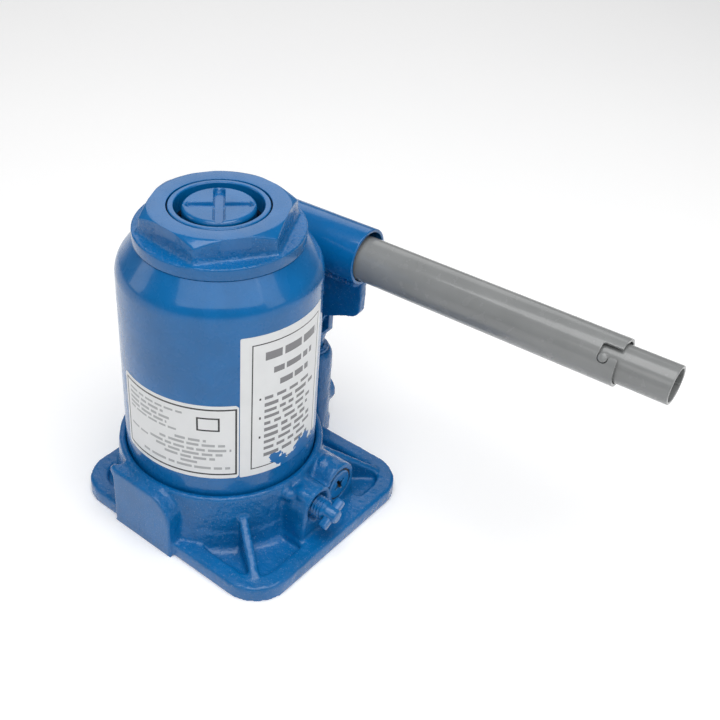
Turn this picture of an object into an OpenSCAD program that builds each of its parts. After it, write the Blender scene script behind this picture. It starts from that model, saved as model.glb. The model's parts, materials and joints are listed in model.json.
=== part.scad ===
// Two-stage hydraulic bottle jack, fully lowered, with its pump linkage and two-piece handle.
// Units are millimetres. The ram axis is Z, the base stands on z = 0,
// +X is the way the handle points and +Y is the pump side.

/* [Overall] */
// Height with both rams down
lowered_height = 175; // [160:1:200]
// Travel of each ram
ram_stroke = 105; // [80:1:120]
// Gap between sliding faces on the radius
running_gap = 0.05; // [0.02:0.01:0.10]

/* [Base casting] */
// Plate edge on the side away from the valves
plate_x0 = -56; // [-70:0.1:-50]
// Plate edge on the valve side
plate_x1 = 80.1; // [70:0.1:95]
// Plate edge on the side away from the pump
plate_y0 = -59.2; // [-70:0.1:-50]
// Plate edge on the pump side
plate_y1 = 67.4; // [60:0.1:80]
// Thickness of the plate at its rim
plate_t = 8.8; // [6:0.1:14]
// Corner radius of the plate
plate_r = 21; // [10:0.5:30]
// Top of the cup that holds the reservoir
cup_top = 37.4; // [30:0.1:45]
// Outer radius of the cup at its rim
cup_r = 55.2; // [54:0.1:60]
// Bottom of the corner pockets
pocket_z = 5; // [3:0.1:8]
// Width of the solid rim around the corner pockets
rim_w = 9.5; // [6:0.1:14]

/* [Reservoir] */
// Outer radius of the reservoir tube
tank_r = 51.1; // [48:0.1:54]
// Wall of the reservoir tube
tank_wall = 2.5; // [1.5:0.1:4]
// Height where the tube's straight wall ends
shoulder_z = 140.5; // [130:0.1:150]
// Radius of the rounded shoulder
shoulder_r = 14.6; // [8:0.1:20]

/* [Top nut] */
// Underside of the round flange
nut_z = 158.1; // [150:0.1:165]
// Radius of the round flange
flange_r = 42; // [38:0.1:46]
// Thickness of the round flange
flange_t = 6.3; // [4:0.1:10]
// Radius over the hexagon's corners
hex_r = 38.7; // [35:0.1:42]
// Angle of one hexagon corner from +X
hex_turn = -4.2; // [-30:0.1:30]

/* [Rams] */
// Outer ram radius
outer_ram_r = 24.5; // [22:0.1:26]
// Inner ram radius
inner_ram_r = 17.9; // [15:0.1:19]
// Radius of the recess around the inner ram
recess_r = 21.4; // [20:0.1:23]
// Bore radius of the ram cylinder
cylinder_r = 26.5; // [25:0.1:28]

/* [Pump and linkage] */
// Pump axis along X
pump_x = 6.5; // [0:0.1:12]
// Pump axis along Y
pump_y = 69.3; // [65:0.1:75]
// Turn of the whole linkage about the pump axis
pump_yaw = 2.95; // [0:0.05:5]
// Top of the pump barrel
barrel_top = 60; // [50:0.5:70]
// Radius of the pump barrel
barrel_r = 11.7; // [10:0.1:14]
// Plunger radius
plunger_r = 6.4; // [5:0.1:8]
// Height of the plunger pin at rest
pin_a_z = 82; // [75:0.5:90]
// Distance from the fulcrum pin to the plunger pin
lever_arm = 24; // [18:0.5:30]
// Half the swing of the handle
half_swing = 20; // [10:1:25]
// Height of the socket's axis
socket_z = 129.7; // [120:0.1:140]
// Outer radius of the socket tube
socket_r = 15; // [13:0.1:18]
// Bore radius of the socket tube
socket_bore = 13.3; // [12:0.1:16]

/* [Handle] */
// Outer radius of the handle tube
handle_r = 11.7; // [10:0.1:14]
// Wall of the handle tube
handle_wall = 1.4; // [1:0.1:2.5]
// Outer end of the handle tube from the pump axis
handle_end = 168.4; // [120:0.1:300]
// Outer radius of the extension tube
ext_r = 9.45; // [8:0.05:12]
// Outer end of the extension tube from the pump axis
ext_end = 193; // [150:0.1:350]
// Bayonet pin angle above the side that faces -Y
bayonet_angle = 31.2; // [0:0.1:60]
// Twist that frees the bayonet pin
bayonet_twist = 20.9; // [10:0.1:40]
// Droop of the handle in its socket
handle_droop = 0.526; // [0:0.001:1]

/* [Hidden] */
$fn = 96;
eps = 0.01;
cup_floor = 30;
seat_z = 24;
tank_in = tank_r - tank_wall;
cyl_out = 31.5;
cyl_top = 156;
head_z0 = 33;
head_z1 = cyl_top - ram_stroke - 0.2;
guide_z0 = 158.6;
guide_z1 = 164.6;
inner_z0 = 41;
inner_head_z1 = guide_z0 - ram_stroke - 0.2;
neck_t = 36;
tank_top = nut_z - 0.1;
tank_hole = 36.2;
release_y = -0.5;
release_z = 25;
release_face = 69.5;
cap_y = 21.2;
cap_z = 23.3;
cap_face = 66;
web_t = 5.5;
link_t = 4;
link_gap = 0.35;
pin_r = 4;
pin_a_x = -0.7;
pin_b_x = pin_a_x - lever_arm * cos(half_swing);
pin_b_z = pin_a_z + lever_arm * sin(half_swing);
pin_c_z = 42;
socket_end = 31.3;
handle_z = socket_z - (socket_bore - handle_r - 0.31);
ext_drop = 0.5;
handle_start = -29;
ext_start = 28;
bayonet_x = 161.9;
bayonet_r = 2.2;
slot_angle = 50.6;
slot_half = 2.73;
leg_half = 2.45;
leg_angle = 33.8;
lump_y = 12.8;
bore_z = 19;
plunger_z0 = 28;
passage_z = 24.5;
dis_y = 46;
oil_z = 14;
label_t = 0.18;
blue = [0.06, 0.31, 0.62];
grey = [0.55, 0.56, 0.56];
steel = [0.62, 0.63, 0.65];
rubber = [0.05, 0.05, 0.05];
paper = [0.9, 0.9, 0.89];

// Ring or tube about Z
module ring(ro, ri, z0, z1) {
    difference() {
        translate([0, 0, z0]) cylinder(r = ro, h = z1 - z0);
        translate([0, 0, z0 - 1]) cylinder(r = ri, h = z1 - z0 + 2);
    }
}

// Straight drilling between two points
module drilling(a, b, r) {
    d = b - a;
    len = norm(d);
    translate(a)
        rotate([0, acos(d.z / len), atan2(d.y, d.x)])
            cylinder(r = r, h = len);
}

// Rod along X from x0 to x1
module rod_x(x0, x1, y, z, r) {
    translate([x0, y, z]) rotate([0, 90, 0]) cylinder(r = r, h = x1 - x0);
}

// Rod along Y from y0 to y1
module rod_y(y0, y1, x, z, r) {
    translate([x, y0, z]) rotate([-90, 0, 0]) cylinder(r = r, h = y1 - y0);
}

// Coil spring along Z, ends left open
module coil(r, wire, turns, h) {
    n = turns * 20;
    m = 8;
    pts = [
        for (i = [0:n], j = [0:m - 1])
            let (a = 360 * turns * i / n, b = 360 * j / m, q = r + wire * cos(b))
                [q * cos(a), q * sin(a), wire + (h - 2 * wire) * i / n + wire * sin(b)]
    ];
    sides = [
        for (i = [0:n - 1], j = [0:m - 1])
            [i * m + j, (i + 1) * m + j, (i + 1) * m + (j + 1) % m, i * m + (j + 1) % m]
    ];
    ends = [[for (j = [0:m - 1]) j], [for (j = [m - 1:-1:0]) n * m + j]];
    polyhedron(points = pts, faces = concat(sides, ends));
}

// Frame of the pump and its linkage: origin on the pump axis, X along the socket
module linkage() {
    translate([pump_x, pump_y, 0]) rotate([0, 0, pump_yaw]) children();
}

// Rectangle with rounded corners
module rounded(x0, x1, y0, y1, r) {
    translate([x0 + r, y0]) square([x1 - x0 - 2 * r, y1 - y0]);
    translate([x0, y0 + r]) square([x1 - x0, y1 - y0 - 2 * r]);
    for (x = [x0 + r, x1 - r], y = [y0 + r, y1 - r]) translate([x, y]) circle(r);
}

module plate_outline() {
    rounded(plate_x0, plate_x1, plate_y0, plate_y1, plate_r);
    rounded(-30, 17, 40, pump_y + 12.5, 8);
}

// Corner pockets, with the rib lines left standing
module pockets() {
    difference() {
        rounded(plate_x0 + rim_w, plate_x1 - rim_w, plate_y0 + rim_w, plate_y1 - rim_w, 12);
        circle(58.5);
        for (a = [-35.3, 41.2, 130])
            rotate(a) translate([0, -2.6]) square([100, 5.2]);
        translate([40, release_y - 14.5]) square([40, 27]);
        translate([40, cap_y - 12]) square([30, 25]);
        translate([-32, 40]) square([50, 40]);
        translate([-22, -70]) square([44, 40]);
    }
}

// Sloping rib from the cup to a corner of the plate
module rib(a, r1) {
    rotate([0, 0, a]) rotate([90, 0, 0])
        linear_extrude(4.8, center = true)
            polygon([[50, 2], [r1 + 3, 2], [r1 + 3, plate_t - 1], [r1, plate_t + 0.4], [55, 26], [50, 26]]);
}

// Flat machined clamping pad on the side away from the pump
module pad() {
    translate([0, -61.7, 0]) rotate([-90, 0, 0]) mirror([0, 1, 0])
        linear_extrude(30) {
            translate([-20.3, 0]) square([27.3, 36.6]);
            translate([-20.3, 0]) square([41.3, 22.6]);
            translate([7, 22.6]) circle(14);
        }
}

module release_boss() {
    translate([38, release_y, release_z]) rotate([90, 0, 90])
        linear_extrude(release_face - 38) {
            circle(10.9);
            polygon([[-11.3, 2], [-14.2, -release_z + 1], [12.2, -release_z + 1], [11.3, 2]]);
        }
}

module cap_boss() {
    translate([32, cap_y, cap_z]) rotate([90, 0, 90])
        linear_extrude(cap_face - 32) {
            circle(12.4);
            polygon([[-12.4, 0], [-12.4, -cap_z + 1], [12.7, -cap_z + 1], [12.4, 0]]);
        }
}

// Pump barrel with its rounded top, side lump and the lug that holds the links
module pump_body() {
    translate([pump_x, pump_y, 0]) rotate_extrude() {
        square([barrel_r, barrel_top - 5]);
        square([barrel_r - 5, barrel_top]);
        translate([barrel_r - 5, barrel_top - 5]) circle(5);
    }
    rod_y(pump_y, pump_y + lump_y, pump_x, passage_z, 9.6);
    translate([pump_x - 9, 40, 0]) cube([18, pump_y - 40, 34]);
    linkage() rotate([90, 0, 0]) linear_extrude(web_t, center = true) {
        translate([pin_b_x, pin_c_z]) circle(7);
        translate([pin_b_x - 7, 2]) square([14, pin_c_z - 2]);
        translate([pin_b_x, 2]) square([-pin_b_x, 30]);
    }
}

module valve_hollows() {
    // Release valve: mouth, thread, ball chamber and seat
    translate([release_face - 4, release_y, release_z]) rotate([0, 90, 0])
        cylinder(r1 = 6.05, r2 = 8.6, h = 4 + eps);
    rod_x(52, release_face, release_y, release_z, 6.05);
    rod_x(43, 53, release_y, release_z, 3.6);
    drilling([43.5, release_y, release_z], [2, 0, oil_z], 1.75);
    drilling([45.4, release_y, release_z], [45.4, release_y, cup_floor + 1], 1.6);
    // Overload valve: cap seat, thread, ball chamber and seat
    rod_x(61, cap_face + 1, cap_y, cap_z, 9.3);
    rod_x(48, 62, cap_y, cap_z, 5.05);
    rod_x(39, 49, cap_y, cap_z, 3.6);
    drilling([39.5, cap_y, cap_z], [2, 1, oil_z], 1.75);
    drilling([41.4, cap_y, cap_z], [41.4, cap_y, cup_floor + 1], 1.5);
}

module pump_hollows() {
    // Pump bore, packing seat, inlet and outlet
    translate([pump_x, pump_y, bore_z]) cylinder(r = plunger_r + running_gap, h = barrel_top);
    translate([pump_x, pump_y, 46]) cylinder(r = 9.3, h = barrel_top);
    drilling([pump_x, pump_y, 11], [pump_x, pump_y, bore_z + 1], 1.6);
    drilling([16.5, 43, 11], [pump_x, pump_y, 11], 1.5);
    drilling([16.5, 43, 10], [16.5, 43, cup_floor + 1], 1.5);
    rod_y(dis_y, pump_y + 10, pump_x, passage_z, 2);
    rod_y(pump_y + 9, pump_y + lump_y + 1, pump_x, passage_z, 4.55);
    drilling([pump_x, dis_y, 16], [pump_x, dis_y, passage_z], 1.75);
    translate([pump_x, dis_y, -1]) cylinder(r = 5.05, h = 9);
    translate([pump_x, dis_y, 7]) cylinder(r = 4, h = 13);
    drilling([pump_x, dis_y, oil_z], [0, 0, oil_z], 1.75);
    drilling([0, 0, oil_z - 1], [0, 0, seat_z + 1], 3);
    linkage() rod_y(-10, 10, pin_b_x, pin_c_z, pin_r + 0.03);
}

module base_casting() {
    color(blue) difference() {
        union() {
            difference() {
                linear_extrude(plate_t) plate_outline();
                translate([0, 0, pocket_z]) linear_extrude(plate_t) pockets();
            }
            translate([0, 0, 2]) cylinder(r1 = cup_r + 2, r2 = cup_r, h = cup_top - 2);
            for (q = [[-35.3, 84], [41.2, 88], [130, 75]]) rib(q[0], q[1]);
            pad();
            release_boss();
            cap_boss();
            pump_body();
        }
        translate([0, 0, cup_floor]) cylinder(r = tank_r + 0.3, h = 12);
        translate([0, 0, cup_top - 1.2]) cylinder(r1 = tank_r + 0.3, r2 = tank_r + 1.5, h = 1.2 + eps);
        translate([0, 0, seat_z]) cylinder(r = cyl_out + 0.05, h = 10);
        ring(38, 16, -1, 5);
        valve_hollows();
        pump_hollows();
    }
}

// Bottle profile set in by the given amount
module bottle(inset, top) {
    cx = tank_r - shoulder_r;
    ra = shoulder_r - inset;
    ar = cx + ra * cos(neck_t);
    az = shoulder_z + ra * sin(neck_t);
    square([tank_r - inset, shoulder_z]);
    translate([cx, shoulder_z]) circle(ra);
    polygon([[0, shoulder_z - 5], [cx, shoulder_z - 5], [ar, az],
        [ar - (top - az) * tan(neck_t), top], [0, top]]);
}

module reservoir_shell() {
    color(blue) difference() {
        rotate_extrude() difference() {
            bottle(0, tank_top);
            bottle(tank_wall, tank_top - tank_wall);
            translate([0, 150]) square([tank_hole, 20]);
            translate([0, -1]) square([60, cup_floor + 1.8]);
        }
        rotate([0, 0, 200]) rod_x(40, 60, 0, 126, 5.05);
    }
}

module reservoir_gasket() {
    color(rubber) ring(tank_r + 0.1, tank_in - 0.2, cup_floor, cup_floor + 0.8);
}

module ram_cylinder() {
    color(steel) ring(cyl_out, cylinder_r, seat_z + 0.6, cyl_top);
}

module cylinder_gasket() {
    color(steel) ring(cyl_out, cylinder_r + 0.2, seat_z, seat_z + 0.6);
}

// Hexagon nut with a round flange, a threaded skirt and the outer ram's guide bore
module tank_nut() {
    hex_flat = hex_r * cos(30);
    z_hex = nut_z + flange_t;
    color(blue) difference() {
        union() {
            intersection() {
                rotate([0, 0, hex_turn])
                    translate([0, 0, z_hex - 1])
                        cylinder(r = hex_r, h = lowered_height - z_hex + 1, $fn = 6);
                translate([0, 0, lowered_height - 16])
                    cylinder(r1 = hex_flat + 0.2 + 16 * sqrt(3), r2 = hex_flat + 0.2, h = 16);
            }
            translate([0, 0, nut_z + 0.7]) cylinder(r = flange_r, h = flange_t - 1.9);
            translate([0, 0, nut_z]) cylinder(r1 = flange_r - 0.7, r2 = flange_r, h = 0.7);
            translate([0, 0, z_hex - 1.2]) cylinder(r1 = flange_r, r2 = flange_r - 1.2, h = 1.2);
            translate([0, 0, 143]) cylinder(r = tank_hole - 0.3, h = 16);
        }
        translate([0, 0, 140]) cylinder(r = outer_ram_r + running_gap, h = 40);
        translate([0, 0, 140]) cylinder(r = cyl_out + 0.05, h = cyl_top - 140);
        translate([0, 0, 170.4]) cylinder(r = 27.5, h = 3);
        translate([0, 0, 173.3]) cylinder(r = outer_ram_r + 0.65, h = 3);
        ring(40, 37, nut_z - 1, nut_z + 2.1);
    }
}

module nut_o_ring() {
    color(rubber) rotate_extrude() translate([38.5, nut_z + 1]) circle(1.05, $fn = 32);
}

module ram_wiper() {
    color(rubber) rotate_extrude()
        polygon([[24.56, 170.45], [27.4, 170.45], [27.4, 173.2], [25.1, 173.2], [24.56, 172.6]]);
}

module filler_plug() {
    color(rubber) difference() {
        rotate([0, 0, 200]) {
            rod_x(46.5, tank_r + 0.6, 0, 126, 5);
            rod_x(tank_r - 2, tank_r + 2.6, 0, 126, 7.4);
        }
        difference() {
            translate([0, 0, 110]) cylinder(r = tank_r + 0.03, h = 30);
            rotate([0, 0, 200]) rod_x(40, 60, 0, 126, 5);
        }
    }
}

// Thin curved sticker between two angles
module sticker(a0, a1, z0, z1) {
    rotate([0, 0, a0]) rotate_extrude(angle = a1 - a0)
        translate([tank_r + 0.02, z0]) square([label_t, z1 - z0]);
}

module rating_label() {
    color(paper) sticker(-113, -36.9, 48.2, 94.2);
}

module safety_label() {
    color(paper) sticker(-36.4, 24, 48, 132.8);
}

module pump_gland() {
    color(blue) translate([pump_x, pump_y, 0]) rotate_extrude() difference() {
        union() {
            translate([plunger_r + running_gap, 50]) square([2.75, barrel_top - 49.2]);
            translate([plunger_r + running_gap, 50]) square([1.8, barrel_top - 48.3]);
        }
        translate([0, 40]) square([plunger_r + running_gap, 40]);
    }
}

module pump_packing() {
    color(rubber) translate([pump_x, pump_y, 0]) ring(9.25, plunger_r + 0.03, 46.05, 49.95);
}

module suction_ball() {
    color(steel) translate([pump_x, pump_y, bore_z + 2.35]) sphere(r = 2.8);
}

module passage_plug() {
    color(steel) difference() {
        rod_y(pump_y + 10.2, pump_y + lump_y + 0.4, pump_x, passage_z, 4.5);
        translate([pump_x, pump_y + lump_y - 1.4, passage_z]) rotate([-90, 0, 0])
            cylinder(r = 2.6, h = 3, $fn = 6);
    }
}

module discharge_ball() {
    color(steel) translate([pump_x, dis_y, 17.5]) sphere(r = 3);
}

module discharge_spring() {
    color(steel) translate([pump_x, dis_y, 8.1]) coil(2.6, 0.4, 4, 6.6);
}

module discharge_plug() {
    color(steel) difference() {
        translate([pump_x, dis_y, 0.4]) cylinder(r = 5, h = 6.5);
        translate([pump_x, dis_y, -0.6]) cylinder(r = 2.9, h = 4, $fn = 6);
    }
}

module overload_ball() {
    color(steel) translate([41.7, cap_y, cap_z]) sphere(r = 3);
}

module overload_spring() {
    color(steel) translate([44.4, cap_y, cap_z]) rotate([0, 90, 0]) coil(2.7, 0.45, 4, 5.5);
}

module overload_adjuster() {
    color(steel) difference() {
        rod_x(50, 58, cap_y, cap_z, 5);
        translate([56, cap_y - 6, cap_z - 0.6]) cube([3, 12, 1.2]);
    }
}

// Screwed cover of the overload valve with a cross recess
module overload_cap() {
    color(blue) difference() {
        union() {
            rod_x(61.2, 65.6, cap_y, cap_z, 8.4);
            translate([65.6, cap_y, cap_z]) rotate([0, 90, 0]) cylinder(r1 = 8.4, r2 = 7.9, h = 0.5);
        }
        translate([66.1 - 2.6, cap_y, cap_z]) rotate([-28, 0, 0]) for (a = [0, 90])
            rotate([a, 0, 0]) rotate([90, 0, 0]) linear_extrude(1.5, center = true)
                polygon([[0, -1.2], [0, 1.2], [2.8, 4.2], [2.8, -4.2]]);
    }
}

module overload_cap_seal() {
    color(rubber) translate([0, cap_y, cap_z]) rotate([0, 90, 0]) ring(9.25, 8.45, 61.2, 65.5);
}

module release_ball() {
    color(steel) translate([45.45, release_y, release_z]) sphere(r = 3);
}

module link_plate() {
    rotate([90, 0, 0]) linear_extrude(link_t, center = true) difference() {
        union() {
            translate([pin_b_x, pin_b_z]) circle(7);
            translate([pin_b_x, pin_c_z]) circle(7);
            translate([pin_b_x - 7, pin_c_z]) square([14, pin_b_z - pin_c_z]);
        }
        for (z = [pin_b_z, pin_c_z]) translate([pin_b_x, z]) circle(pin_r + 0.03);
    }
}

module fulcrum_links() {
    off = web_t / 2 + link_gap + link_t / 2;
    color(blue) linkage() for (y = [-off, off]) translate([0, y, 0]) link_plate();
}

// Headed cross pin with a groove for its clip
module headed_pin(z) {
    difference() {
        union() {
            rod_y(-8.3, 9.4, pin_b_x, z, pin_r);
            rod_y(-8.9, -7.3, pin_b_x, z, 5.6);
        }
        translate([pin_b_x, 7.4, z]) rotate([-90, 0, 0]) ring(6, 3.2, 0, 1.1);
    }
}

module fulcrum_pin() {
    color(steel) linkage() headed_pin(pin_b_z);
}

module link_pin() {
    color(steel) linkage() headed_pin(pin_c_z);
}

// Spring clip that snaps into a pin's groove, along Y
module clip(x, y, z, r) {
    translate([x, y, z]) rotate([-90, 0, 0]) difference() {
        cylinder(r = r, h = 0.9);
        translate([0, 0, -1]) cylinder(r = 3.25, h = 3);
        translate([-1.9, 0, -1]) cube([3.8, 8, 3]);
    }
}

module link_clips() {
    color(steel) linkage() for (z = [pin_b_z, pin_c_z]) clip(pin_b_x, 7.5, z, 5.6);
}

module outer_ram() {
    color(blue) difference() {
        union() {
            translate([0, 0, head_z0]) cylinder(r = outer_ram_r, h = lowered_height - head_z0 - 0.5);
            translate([0, 0, lowered_height - 0.5])
                cylinder(r1 = outer_ram_r, r2 = outer_ram_r - 0.5, h = 0.5);
            translate([0, 0, head_z0]) cylinder(r = cylinder_r - running_gap, h = head_z1 - head_z0);
        }
        translate([0, 0, 37.5]) cylinder(r = 19.6, h = 140);
        translate([0, 0, guide_z0]) cylinder(r = recess_r, h = 30);
        translate([0, 0, lowered_height - 0.6]) cylinder(r1 = recess_r, r2 = recess_r + 0.8, h = 0.7);
        translate([0, 0, 30]) cylinder(r = 9.05, h = 5);
        translate([0, 0, 30]) cylinder(r = 3, h = 10);
    }
}

module outer_ram_seal() {
    color(rubber) rotate_extrude()
        polygon([[9.05, 28], [24, 28], [26.2, 26.6], [26.46, 26.8], [26.46, 32.95], [9.05, 32.95]]);
}

module outer_seal_screw() {
    color(steel) difference() {
        union() {
            translate([0, 0, 25.8]) cylinder(r = 19, h = 2.15);
            translate([0, 0, 27]) cylinder(r = 9, h = 7.9);
        }
        translate([0, 0, 20]) cylinder(r = 3, h = 20);
    }
}

module inner_ram_guide() {
    color(steel) ring(recess_r - 0.03, inner_ram_r + running_gap, guide_z0, guide_z1);
}

module guide_snap_ring() {
    color(steel) difference() {
        ring(recess_r - 0.05, 19.6, guide_z1 + 0.05, guide_z1 + 1.4);
        rotate([0, 0, 132.5]) translate([10, -4, guide_z1 - 1]) cube([20, 8, 5]);
    }
}

// Inner ram, with a rounded head and crossed locating grooves
module inner_ram() {
    top = lowered_height - 0.3;
    color(blue) difference() {
        union() {
            rotate_extrude() {
                translate([0, inner_z0]) square([inner_ram_r, top - inner_z0 - 2]);
                translate([0, top - 3]) square([inner_ram_r - 2, 3]);
                translate([inner_ram_r - 2, top - 2]) circle(2);
            }
            translate([0, 0, inner_z0]) cylinder(r = 19.6 - running_gap, h = inner_head_z1 - inner_z0);
            translate([0, 0, inner_z0 - 2]) cylinder(r = 6, h = 3);
        }
        for (a = [42.5, 132.5]) rotate([0, 0, a]) {
            translate([-20, 0, top + 0.4]) rotate([0, 90, 0]) cylinder(r = 2.9, h = 40);
        }
    }
}

module inner_ram_seal() {
    color(rubber) rotate_extrude()
        polygon([[6.05, 38.8], [17.6, 38.8], [19.2, 37.6], [19.56, 37.8], [19.56, 40.95], [6.05, 40.95]]);
}

// Plunger with the fork that takes the socket's lug; the pin holes are slotted along X
module pump_plunger() {
    color(steel) translate([pump_x, pump_y, 0]) difference() {
        union() {
            translate([0, 0, plunger_z0]) cylinder(r = plunger_r, h = 64 - plunger_z0);
            translate([0, 0, 64]) cylinder(r1 = plunger_r, r2 = 8.2, h = 8);
            rotate([0, 0, pump_yaw]) rotate([90, 0, 0]) linear_extrude(14.4, center = true) {
                translate([-8, 71]) square([16, pin_a_z - 71]);
                translate([0, pin_a_z]) circle(8);
            }
            translate([0, 0, plunger_z0 - 3]) cylinder(r = 2, h = 4);
        }
        rotate([0, 0, pump_yaw]) {
            translate([-12, -web_t / 2 - link_gap, 73.2]) cube([24, web_t + 2 * link_gap, 30]);
            rotate([90, 0, 0]) linear_extrude(30, center = true) {
                for (x = [-0.75, 0.75]) translate([x, pin_a_z]) circle(pin_r + 0.12);
                translate([-0.75, pin_a_z - pin_r - 0.12]) square([1.5, 2 * pin_r + 0.24]);
            }
        }
    }
}

module plunger_seal() {
    color(rubber) translate([pump_x, pump_y, 0]) ring(plunger_r + 0.02, 2.05, 25, 27.95);
}

module socket_tube() {
    color(blue) linkage() difference() {
        rod_x(-40, socket_end, 0, socket_z, socket_r);
        rod_x(-41, 32, 0, socket_z, socket_bore);
        rod_y(-20, 20, -33.5, socket_z, 2.5);
    }
}

// Plate lug under the socket that carries the plunger pin and turns on the fulcrum pin
module socket_lug() {
    color(blue) linkage() difference() {
        rotate([90, 0, 0]) linear_extrude(web_t, center = true) difference() {
            union() {
                polygon([[-31, socket_z - 4], [-31, 92], [pin_b_x, pin_b_z - 8], [pin_b_x + 6, pin_b_z - 6],
                    [pin_a_x - 7, pin_a_z - 3], [pin_a_x + 6, pin_a_z - 5], [9, 85.5], [14, 87],
                    [22.8, 91], [22.8, socket_z - 4]]);
                translate([22, 99]) square([8.8, socket_z - 103]);
                translate([22.8, 99]) circle(8);
                translate([pin_b_x, pin_b_z]) circle(8);
                translate([pin_a_x, pin_a_z]) circle(7.2);
            }
            translate([pin_b_x, pin_b_z]) circle(pin_r + running_gap);
            translate([pin_a_x, pin_a_z]) circle(pin_r);
        }
        rod_x(-50, 50, 0, socket_z, socket_r);
    }
}

// Weld beads between the lug and the tube
module socket_welds() {
    color(blue) linkage() difference() {
        for (y = [-web_t / 2 - 0.6, web_t / 2 + 0.6])
            rod_x(-30.5, 29.5, y, socket_z - socket_r - 0.5, 2.6);
        rod_x(-50, 50, 0, socket_z, socket_r);
        translate([-50, -web_t / 2, 100]) cube([100, web_t, 40]);
    }
}

module plunger_pin() {
    color(steel) linkage() difference() {
        rod_y(-9.6, 9.6, pin_a_x, pin_a_z, pin_r);
        translate([pin_a_x, 7.6, pin_a_z]) rotate([-90, 0, 0]) ring(6, 3.2, 0, 1.1);
        translate([pin_a_x, -8.7, pin_a_z]) rotate([-90, 0, 0]) ring(6, 3.2, 0, 1.1);
    }
}

module plunger_pin_clips() {
    color(steel) linkage() for (y = [-8.6, 7.7]) clip(pin_a_x, y, pin_a_z, 5.6);
}

module handle_stop_pin() {
    color(steel) linkage() rod_y(-15.2, 15.2, -33.5, socket_z, 2.5);
}

// Frame of the handle tube, which droops a little in the socket: X runs along its axis
module handle_frame(drop = 0) {
    linkage() translate([socket_end, 0, handle_z]) rotate([0, handle_droop, 0])
        translate([-socket_end, 0, -drop]) children();
}

// Handle tube with the J-shaped bayonet slot at its outer end
module handle_tube() {
    color(grey) handle_frame() difference() {
        rod_x(handle_start, handle_end, 0, 0, handle_r);
        rod_x(handle_start - 1, handle_end + 1, 0, 0, handle_r - handle_wall);
        rotate([-slot_angle, 0, 0])
            translate([bayonet_x - leg_half + 0.1, -handle_r - 2, -slot_half])
                cube([20, 6, 2 * slot_half]);
        rotate([-slot_angle, 0, 0]) translate([bayonet_x - leg_half, 0, 0])
            rotate([0, 90, 0]) rotate([0, 0, -90])
                rotate_extrude(angle = leg_angle) translate([6, 0]) square([10, 2 * leg_half]);
    }
}

// Extension tube, notched at its inner end to fit over the release screw's cross bar
module handle_extension() {
    color(grey) handle_frame(ext_drop) difference() {
        union() {
            rod_x(ext_start, handle_end + 0.6, 0, 0, ext_r - 0.4);
            rod_x(handle_end + 0.6, ext_end, 0, 0, ext_r);
        }
        rod_x(ext_start - 1, ext_end + 1, 0, 0, ext_r - handle_wall);
        translate([ext_start - 1, -20, -2.7]) cube([9, 40, 5.4]);
        rotate([-bayonet_angle, 0, 0]) rod_y(-ext_r - 2, -5, bayonet_x, 0, bayonet_r);
    }
}

module bayonet_pin() {
    color(grey) handle_frame(ext_drop) rotate([-bayonet_angle, 0, 0]) {
        rod_y(-handle_r - 0.7, -ext_r + handle_wall + 0.8, bayonet_x, 0, bayonet_r);
        translate([bayonet_x, -handle_r - 0.7, 0]) rotate([90, 0, 0])
            cylinder(r1 = bayonet_r, r2 = bayonet_r - 0.6, h = 0.5);
        rod_y(-ext_r + handle_wall + 0.7, -ext_r + handle_wall + 1.6, bayonet_x, 0, bayonet_r + 0.5);
    }
}

// Release valve screw: nose, thread, shank and cross bar
module release_screw() {
    pitch = 1.75;
    color(blue) translate([0, release_y, release_z]) {
        difference() {
            union() {
                rod_x(48.5, 54, 0, 0, 3.2);
                rod_x(53, 60, 0, 0, 5.2);
                rod_x(59, 74.2, 0, 0, 5.2);
                for (x = [59.5:pitch:73]) translate([x, 0, 0]) rotate([0, 90, 0]) {
                    cylinder(r1 = 5.2, r2 = 6, h = pitch / 2);
                    translate([0, 0, pitch / 2]) cylinder(r1 = 6, r2 = 5.2, h = pitch / 2);
                }
                rod_x(74, 81, 0, 0, 3.8);
                translate([81, 0, 0]) rotate([0, 90, 0]) cylinder(r1 = 3.8, r2 = 3.1, h = 0.7);
                rotate([28, 0, 0]) translate([75.6, -8.8, -2.1]) cube([4.4, 17.6, 4.2]);
            }
            translate([56, 0, 0]) rotate([0, 90, 0]) ring(7, 4.4, 0, 2.2);
        }
    }
}

module release_o_ring() {
    color(rubber) translate([57.1, release_y, release_z]) rotate([0, 90, 0])
        rotate_extrude() translate([5.2, 0]) circle(0.8, $fn = 32);
}

base_casting();
reservoir_shell();
reservoir_gasket();
ram_cylinder();
cylinder_gasket();
tank_nut();
nut_o_ring();
ram_wiper();
filler_plug();
rating_label();
safety_label();
pump_gland();
pump_packing();
suction_ball();
passage_plug();
discharge_ball();
discharge_spring();
discharge_plug();
overload_ball();
overload_spring();
overload_adjuster();
overload_cap();
overload_cap_seal();
release_ball();
fulcrum_links();
fulcrum_pin();
link_pin();
link_clips();
outer_ram();
outer_ram_seal();
outer_seal_screw();
inner_ram_guide();
guide_snap_ring();
inner_ram();
inner_ram_seal();
pump_plunger();
plunger_seal();
socket_tube();
socket_lug();
socket_welds();
plunger_pin();
plunger_pin_clips();
handle_stop_pin();
handle_tube();
handle_extension();
bayonet_pin();
release_screw();
release_o_ring();
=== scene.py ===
"""Looks of the two-stage bottle jack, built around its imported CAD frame.

Lengths are in millimetres until a mesh is made.
"""

import json
import math

import bmesh
import bpy
import numpy as np
from mathutils import Matrix, Vector

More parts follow.
